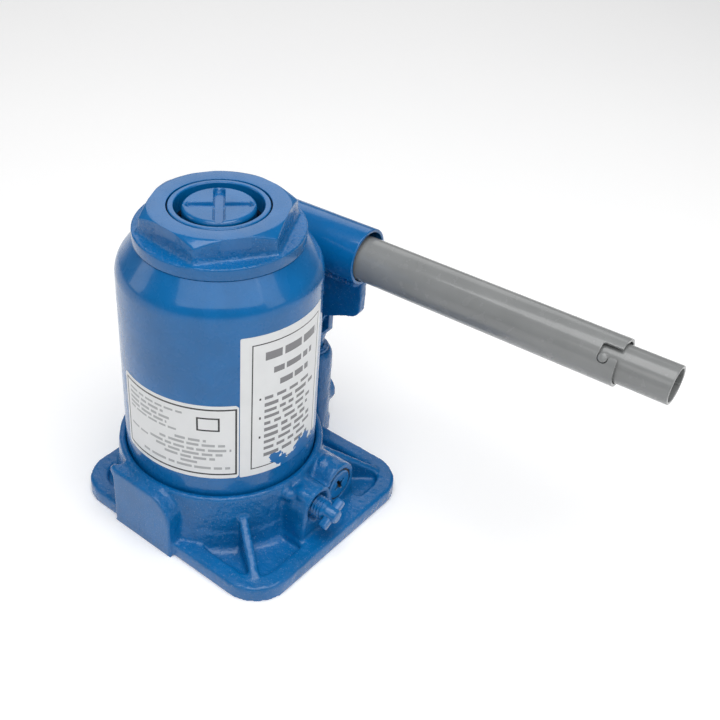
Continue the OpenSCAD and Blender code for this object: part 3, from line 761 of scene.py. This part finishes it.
def block(low, high, r, steps=3):
    """A box between two corners with rounded edges, built as stacked rounded outlines along X."""
    (x0, y0, z0), (x1, y1, z1) = low, high
    bevel = 0.3 * r
    rings = []
    for x, inset in ((x0, r), (x0 + bevel, bevel), (x0 + r, 0), (x1 - r, 0), (x1 - bevel, bevel), (x1, r)):
        left, right, under, over = y0 + inset, y1 - inset, z0 + inset, z1 - inset
        outline = soften([(left, under), (right, under), (right, over), (left, over)], r + 0.2, steps)
        rings.append([(x, y, z) for y, z in outline])
    n = len(rings[0])
    verts = [v for ring in rings for v in ring]
    ends = [tuple(range(n)), tuple(range((len(rings) - 1) * n, len(rings) * n))]
    return verts, ring_faces(len(rings), n) + ends


make(
    "release_cross_bar", *block((75.6, -8.8, -2.1), (80.0, 8.8, 2.1), 0.8), [BLUE], "release_screw",
    "blue_paint", place=RELEASE_AXIS @ Matrix.Rotation(math.radians(BAR_TURN), 4, "X"), extra=True,
)

# ---------------------------------------------------------------- linkage

socket = soften([(15, -40), (15, SOCKET_END), (13.3, SOCKET_END), (13.3, -40)], [0.5, 0.5, 0.35, 0.35])
make(
    "socket", *lathe(socket, 160), [BLUE], "socket_tube", "blue_paint",
    place=LINKAGE @ Matrix.Translation((0, 0, SOCKET_Z)) @ ALONG_X,
)
skin(
    "socket_lug", "socket_web", 0.6, 6, [CAST],
    rough=lambda p: 0.12 * waves(p, 6, 11) + 0.05 * waves(p, 2.2, 12),
    hold=lambda p: np.where(p[:, 2] < 97, 0.35, 1.0),
)


BEAD_Z = 114.2
BEAD_R = 2.45
RIPPLE = 2.3


def bead(y):
    """A weld bead with its ripples, running along X beside the lug."""
    verts, steps = [], 20
    xs = np.arange(-30.5, 29.51, 0.35)
    for x in xs:
        end = min(1.0, (x + 30.9) / 2, (29.9 - x) / 2)
        ripple = 0.28 * abs(math.sin(math.pi * (x + 0.2 * math.sin(x)) / RIPPLE))
        r = (BEAD_R + ripple) * math.sqrt(max(0.02, end)) + 0.15 * math.sin(0.7 * x + y)
        for k in range(steps):
            a = 2 * math.pi * k / steps
            verts.append((x + 0.5 * math.cos(a), y + r * math.cos(a), BEAD_Z + r * math.sin(a)))
    n = len(xs)
    ends = [tuple(range(steps)), tuple(range((n - 1) * steps, n * steps))]
    return verts, ring_faces(n, steps) + ends


make("weld_bead_near", *bead(-3.35), [BLUE_ROUGH], "socket_welds", "blue_paint", place=LINKAGE)
make("weld_bead_far", *bead(3.35), [BLUE_ROUGH], "socket_welds", "blue_paint", place=LINKAGE, extra=True)
trim("fulcrum_links", "fulcrum_link_plates", 0.5, BLUE_ROUGH)
trim("pump_gland", "gland", 0.3, BLUE_ROUGH)
trim("pump_plunger", "plunger_fork", 0.35, BLUE_ROUGH)
for part in ("fulcrum_pin", "link_pin", "plunger_pin", "handle_stop_pin", "passage_plug"):
    trim(part, part + "_turned", 0.35, STEEL)
for part in ("link_clips", "plunger_pin_clips"):
    trim(part, part + "_formed", 0.2, STEEL)

# ---------------------------------------------------------------- handle and extension


def along(start, fine, end, coarse_step, fine_step):
    """Places along a tube, close together from fine to end."""
    close = np.linspace(fine, end, int((end - fine) / fine_step) + 1)
    return np.concatenate([np.arange(start, fine, coarse_step), close])


def rolled(r, big):
    """Rolls sheet points (x, arc at radius big) to radius r; arc 0 faces -Y and it grows upwards."""

    def roll(p):
        turn = p[:, 1] / big
        return np.stack([p[:, 0], -r * np.cos(turn), r * np.sin(turn)], 1)

    return roll


def rounded_gap(x, s, x0, x1, s0, s1, r):
    """Signed distance, above 0 inside, to a rectangle with round corners."""
    dx = np.maximum(x0 + r - x, x - (x1 - r))
    ds = np.maximum(s0 + r - s, s - (s1 - r))
    out = np.hypot(np.maximum(dx, 0), np.maximum(ds, 0)) + np.minimum(np.maximum(dx, ds), 0) - r
    return -out


def tube(name, node, place, big, wall, start, fine, end, shape, lips=0.25):
    """A tube with cut-outs: shape is above 0 where metal is missing."""
    ring = 2 * math.pi * big
    xs = along(start, fine, end, 3.0, 0.36)
    ss = np.linspace(-ring / 2, ring / 2, 217)
    p, quads = cut_sheet(xs, ss, shape)
    verts, faces = thicken(p, quads, rolled(big - wall, big), rolled(big, big))
    obj = make(name, verts, faces, [GREY], node, "grey_paint", place=place, sharp=40, merge=5e-3)
    mod = obj.modifiers.new("edges", "BEVEL")
    mod.width = lips * MM
    mod.segments = 2
    mod.limit_method = "ANGLE"
    mod.angle_limit = math.radians(55)
    bake(obj)
    obj.data.shade_smooth()
    obj.data.set_sharp_from_angle(angle=math.radians(50))
    return obj


TUBE_WALL = 1.4
HANDLE_R, HANDLE_END = 11.7, 168.4
EXTENSION_R, EXTENSION_END = 9.45, 193


def bayonet_slot(x, s):
    """Above 0 in the J-shaped slot: a short leg round the tube and a leg out of its end."""
    degree = HANDLE_R * math.radians(1)
    near, far = 159.45, 164.35
    middle, half = 50.6 * degree, 2.73
    out_leg = rounded_gap(x, s, near, 190, middle - half, middle + half, 1.2)
    round_leg = rounded_gap(x, s, near, far, 16.8 * degree, middle + half, 1.9)
    both = np.maximum(out_leg, round_leg)
    # the free corner between the two legs is worn round, and so is the slot's mouth
    r = 1.6
    cx, cs = far + r, middle - half - r
    corner = (x < cx) & (s > cs) & (x > 163) & (s < middle - 1.5)
    both = np.where(corner, np.maximum(both, np.hypot(x - cx, s - cs) - r), both)
    r = 1.3
    cx, cs = HANDLE_END - r, middle - half - r
    mouth = (x > cx) & (s > cs) & (s < middle)
    return np.where(mouth, np.maximum(both, np.hypot(x - cx, s - cs) - r), both)


def key_notches(x, s):
    """Above 0 in the two notches at the extension's inner end."""
    opposite = math.pi * EXTENSION_R
    gap = np.minimum(abs(s), abs(abs(s) - opposite))
    return np.minimum(35.0 - x, 2.7 - gap)


def on_handle(turn, place):
    """A place in the extension's frame, turned about its axis."""
    return handle_frame(0.5) @ Matrix.Rotation(math.radians(turn), 4, "X") @ Matrix.Translation(place)


tube("handle", "handle_tube", handle_frame(), HANDLE_R, TUBE_WALL, -29, 155, HANDLE_END, bayonet_slot)
tube(
    "extension", "handle_extension", handle_frame(0.5), EXTENSION_R, TUBE_WALL, 28, 188, EXTENSION_END,
    key_notches, lips=0.3,
)
seam = soften([(0.45, 120), (0.45, 192.5), (0, 192.5), (0, 120)], [0.1, 0.3, 0, 0])
make(
    "extension_seam", *lathe(seam, 20), [GREY], "handle_extension", "grey_paint",
    place=on_handle(-118, (0, 0, 8.0)) @ ALONG_X, extra=True,
)
stud = [(0, 0), (2.75, 0), (2.75, 0.6), (2.2, 0.9), (2.2, 4.2), (2.12, 4.75), (1.7, 5.15), (1.0, 5.35)]
stud.append((0, 5.4))
make(
    "bayonet_stud", *lathe(stud, 48), [GREY], "bayonet_pin", "grey_paint",
    place=on_handle(-31.2, (161.9, -7.3, 0)) @ Matrix.Rotation(math.radians(90), 4, "X"),
)

# ---------------------------------------------------------------- filler plug

PLUG_TURN, PLUG_Z = 200, 126
plug = soften(
    [
        (0, 47), (4.8, 47), (4.8, 50.2), (7.4, 50.2), (7.4, 52.9), (5.6, 53.7), (3.2, 53.7), (2.4, 53.2),
        (0, 53.1),
    ],
    [0, 0.3, 0.3, 0.4, 0.8, 0.4, 0.4, 0.4, 0],
)
make(
    "filler_bung", *lathe(plug, 72), [RUBBER], "filler_plug", "rubber",
    place=Matrix.Rotation(math.radians(PLUG_TURN), 4, "Z") @ Matrix.Translation((0, 0, PLUG_Z)) @ ALONG_X,
)

# ---------------------------------------------------------------- labels: paper with bars for print

LABEL_R = 51.32
DEG = LABEL_R * math.pi / 180


def words(rng, a0, a1, z, tall, mean, gap):
    """Bars like the words of a line, as (angle from, angle to, bottom, top)."""
    out, a = [], a0
    while a < a1 - 0.6:
        w = min(rng.uniform(0.55, 1.5) * mean, a1 - a)
        out.append((a, a + w, z - tall / 2, z + tall / 2))
        a += w + gap
    return out


def frame_line(a0, a1, z0, z1, thick):
    """The four sides of a printed frame."""
    t = thick / DEG
    return [(a0, a1, z0, z0 + thick), (a0, a1, z1 - thick, z1), (a0, a0 + t, z0, z1), (a1 - t, a1, z0, z1)]


def bent(r):
    """Bends sheet points (arc at LABEL_R, height) round the tank at radius r."""

    def bend(p):
        turn = p[:, 0] / LABEL_R
        return np.stack([r * np.cos(turn), r * np.sin(turn), p[:, 1]], 1)

    return bend


def label(name, node, a0, a1, z0, z1, corner, marks):
    """A curved sticker; marks are lists of boxes, one list a material after the paper."""
    step = 0.31
    us = np.linspace(a0 * DEG, a1 * DEG, int((a1 - a0) * DEG / step) + 1)
    vs = np.linspace(z0, z1, int((z1 - z0) / step) + 1)

    def outside(u, v):
        return -rounded_gap(u, v, a0 * DEG, a1 * DEG, z0, z1, corner)

    p, quads = cut_sheet(us, vs, outside)
    mid = p[quads].mean(1)
    index = np.zeros(len(quads), int)
    for k, boxes in enumerate(marks):
        for b0, b1, w0, w1 in boxes:
            inside = (mid[:, 0] > b0 * DEG) & (mid[:, 0] < b1 * DEG) & (mid[:, 1] > w0) & (mid[:, 1] < w1)
            index[inside] = k + 1
    verts, faces = thicken(p, quads, bent(LABEL_R - 0.2), bent(LABEL_R))
    obj = make(name, verts, faces, [PAPER, INK, SOFT_INK, FAINT_INK], node, "label", sharp=50, merge=0)
    order = np.zeros(len(faces), np.int32)
    order[: len(index)] = index
    obj.data.polygons.foreach_set("material_index", order)
    return obj


rng = np.random.default_rng(7)
bars = words(rng, -22.4, 17.5, 120.2, 4.6, 9, 1.6)
bars += words(rng, -17.2, 12.1, 110.9, 3.6, 8, 1.6)
bars += words(rng, -13.2, 9.2, 102.9, 3.4, 7, 1.4)
for z in (95.5, 91.3, 87.5, 83.8, 79.6, 75.8, 71.8, 67.9, 63.9, 59.7):
    bars += words(rng, -22.4, rng.uniform(8, 17.5), z, 2.0, 6.5, 2.4)
dots = [(-25.7, -24.5, z - 0.7, z + 0.7) for z in (95.5, 83.8, 71.8)]
border = frame_line(-30, 20.2, 52, 128.2, 0.62)
label("safety_sticker", "safety_label", -36.4, 24, 48, 132.8, 0.8, [border + dots, bars, []])

small = []
for z, end in ((88, -67), (85, -80), (82, -76), (79, -78), (76.5, -72)):
    small += words(rng, -107, end, z, 1.5, 6, 1.5)
small += words(rng, -107, -92, 65, 1.5, 6, 1.5)
LOWER_LINES = (
    (72.4, -73, -55), (69.4, -83, -44.6), (66.4, -90, -41), (63.6, -86, -46), (60.8, -80, -50),
    (58, -70, -58), (55, -95.8, -41.8),
)
for z, b0, b1 in LOWER_LINES:
    small += words(rng, b0, b1, z, 1.5, 7, 1.6)
mark = frame_line(-60.3, -47.2, 78.6, 87, 1.0)
border = frame_line(-110.8, -37.8, 50.5, 92.3, 0.93)
label("rating_sticker", "rating_label", -113, -36.9, 48.2, 94.2, 2.2, [border + mark, [], small])

# ---------------------------------------------------------------- CAD nodes that show as they are

TURNED = [
    "ram_cylinder", "cylinder_gasket", "suction_ball", "discharge_ball", "discharge_spring",
    "discharge_plug", "overload_ball", "overload_spring", "overload_adjuster", "release_ball",
    "outer_seal_screw",
]
# The ram guide and its snap ring sit in the recess under the head; their dark steel is partly oil and partly
# painted shade
OILED_SHADE_DARK = ["inner_ram_guide", "guide_snap_ring"]
SEALS = [
    "reservoir_gasket", "nut_o_ring", "ram_wiper", "pump_packing", "overload_cap_seal",
    "outer_ram_seal", "inner_ram_seal", "plunger_seal", "release_o_ring",
]
for slot, mat, names in (("steel", STEEL, TURNED), ("steel", DARK_STEEL, OILED_SHADE_DARK), ("rubber", RUBBER, SEALS)):
    for n in names:
        NODES[n].data.materials.clear()
        NODES[n].data.materials.append(mat)

# ---------------------------------------------------------------- studio

floor_mat, floor_tree, floor_bsdf = new_material("studio_floor")
tone = ramp(floor_tree, (noise(floor_tree, 3, 2), "Fac"), 0.3, 0.7, (0.93, 0.93, 0.935), (0.95, 0.95, 0.95))
link(floor_tree, tone, "Color", floor_bsdf, "Base Color")
floor_bsdf.inputs["Roughness"].default_value = 0.9
floor_bsdf.inputs["Specular IOR Level"].default_value = 0.1
floor_bsdf.inputs["Emission Color"].default_value = (1, 1, 1, 1)
floor_bsdf.inputs["Emission Strength"].default_value = 0.16
floor_mesh = bpy.data.meshes.new("floor")
FLOOR = 6
floor_mesh.from_pydata(
    [(-FLOOR, -FLOOR, 0), (FLOOR, -FLOOR, 0), (FLOOR, FLOOR, 0), (-FLOOR, FLOOR, 0)], [], [(0, 1, 2, 3)]
)
floor_mesh.materials.append(floor_mat)
floor = bpy.data.objects.new("floor", floor_mesh)
bpy.context.scene.collection.objects.link(floor)

world = bpy.data.worlds.new("studio")
bpy.context.scene.world = world
world.use_nodes = True
sky = world.node_tree.nodes["Background"]
sky.inputs["Color"].default_value = (1, 1, 1, 1)
sky.inputs["Strength"].default_value = 0.12


def area(name, place, aim, size, power):
    """A rectangular lamp at place that faces aim, both in metres."""
    data = bpy.data.lights.new(name, "AREA")
    data.shape = "RECTANGLE"
    data.size, data.size_y = size
    data.energy = power
    obj = bpy.data.objects.new(name, data)
    obj.location = place
    obj.rotation_euler = (Vector(aim) - Vector(place)).to_track_quat("-Z", "Y").to_euler()
    bpy.context.scene.collection.objects.link(obj)


area("overhead", (0.2, -0.1, 1.3), (0, 0, 0.1), (1.1, 0.9), 12.5)
area("front", (0.66, -0.72, 0.98), (0, 0, 0.14), (2.2, 0.45), 5.5)
area("behind", (-0.95, 1.05, 1.0), (0, 0, 0.1), (1.7, 0.9), 5.5)
area("left", (-1.05, -0.75, 0.6), (0, 0, 0.1), (0.45, 0.9), 2.0)
area("right", (1.15, 0.25, 0.65), (0, 0, 0.1), (0.45, 0.9), 1.8)

cam = bpy.data.cameras.new("view")
cam.lens = 53.4586
cam.sensor_width = 36
cam.shift_x = 0.17828
cam.clip_start, cam.clip_end = 0.01, 30
camera = bpy.data.objects.new("view", cam)
camera.location = (0.30495, -0.32407, 0.41422)
camera.rotation_euler = (math.radians(53.406), 0, math.radians(42.504))
bpy.context.scene.collection.objects.link(camera)
bpy.context.scene.camera = camera
bpy.context.scene.view_settings.view_transform = "Standard"
